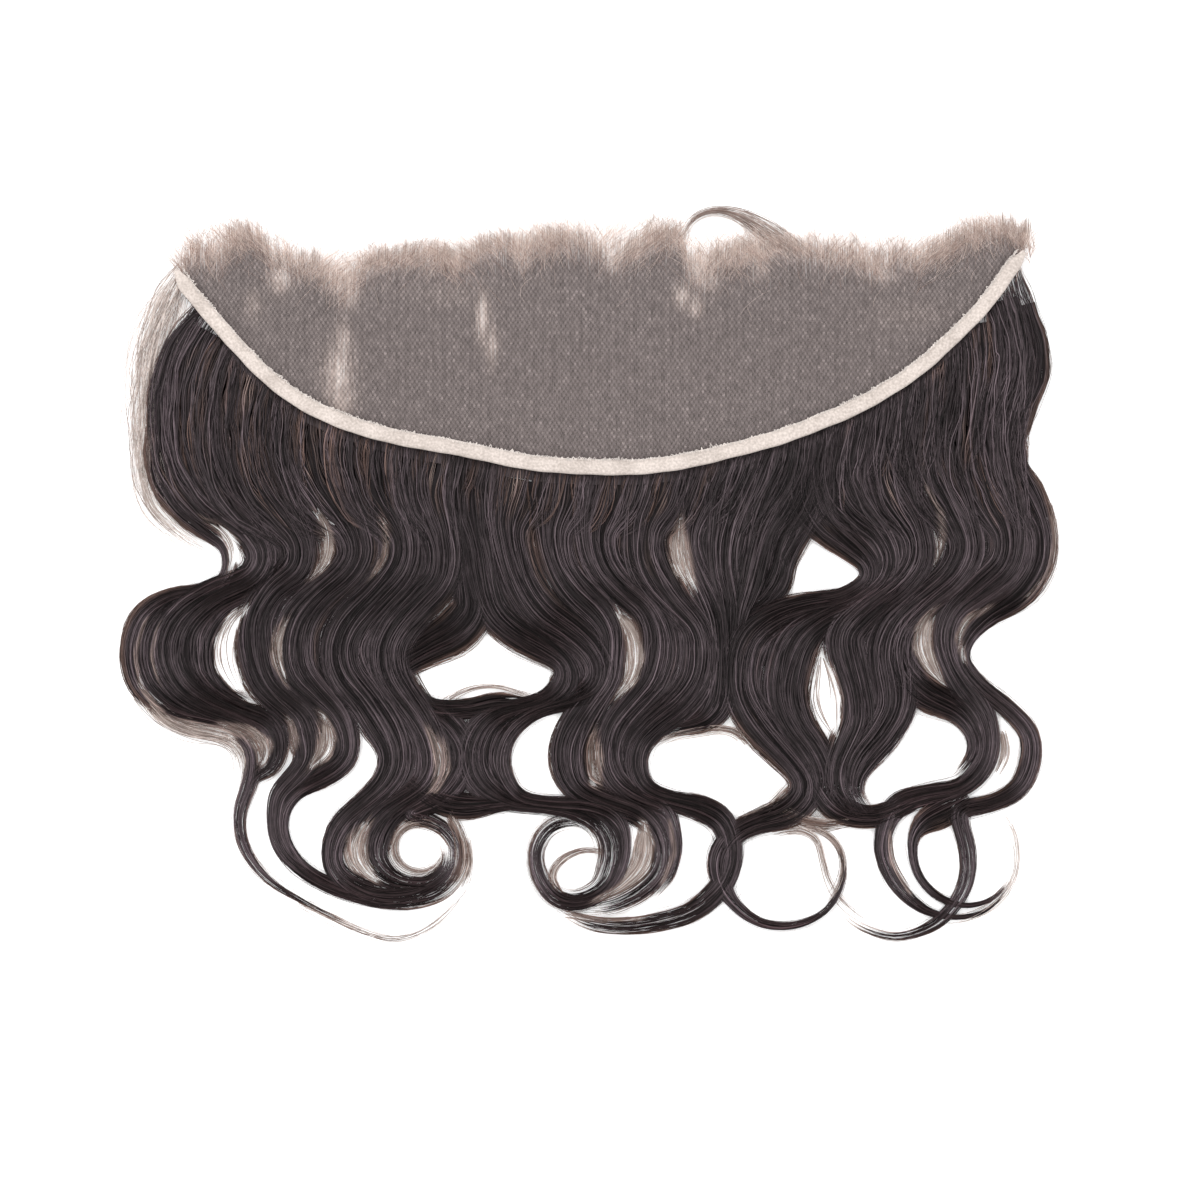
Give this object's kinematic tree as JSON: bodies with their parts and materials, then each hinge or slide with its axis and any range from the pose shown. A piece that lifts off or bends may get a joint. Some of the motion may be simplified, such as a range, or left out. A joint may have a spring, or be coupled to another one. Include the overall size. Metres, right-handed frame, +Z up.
{
  "type": "lace frontal hairpiece",
  "caption": "Ear-to-ear lace frontal: a sheer net base bound with ribbon, with long wavy black hair, laid flat with its lace side up.",
  "frame": {"origin": "on the surface that the hair rests on, under the middle of the ribbon's back edge", "axes": "+X to the right along the hairline, +Y to the front hairline, +Z up, away from the surface"},
  "size_m": [0.3619, 0.2833, 0.0066],
  "materials": {
    "lace_net": "sheer knitted net, matte",
    "ribbon": "woven ribbon, matte, pale pinkish beige",
    "hair_fibre": "fine glossy fibre, natural black"
  },
  "bodies": {
    "root": {"lace_base": "lace_net", "ribbon_binding": "ribbon", "hair": "hair_fibre"}
  },
  "joints": []
}
